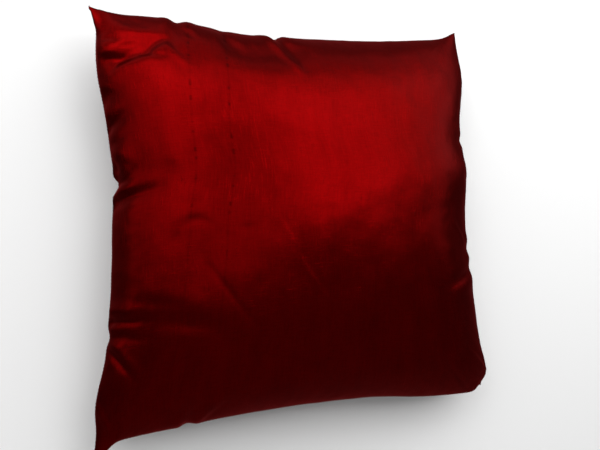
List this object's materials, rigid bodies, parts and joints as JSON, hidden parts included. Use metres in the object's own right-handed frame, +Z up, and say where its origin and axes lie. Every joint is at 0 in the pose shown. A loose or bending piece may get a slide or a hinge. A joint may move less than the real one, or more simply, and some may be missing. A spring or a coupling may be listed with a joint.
{
  "type": "silk scatter cushion",
  "caption": "Plump square knife-edge cushion in slubby red silk, with drawn-in sides, pointed corner ears and seam puckers, lying on its back.",
  "frame": {"origin": "on the floor, in the middle of the flat patch that the cushion's back rests on", "axes": "+Z up through the face's crown, +X to the right of the face and +Y to its top as the picture shows it"},
  "size_m": [0.4173, 0.432, 0.118],
  "materials": {
    "silk": "deep red slub silk with a satin sheen, plain woven, no pattern"
  },
  "bodies": {
    "root": {"cushion": "silk"}
  },
  "joints": []
}
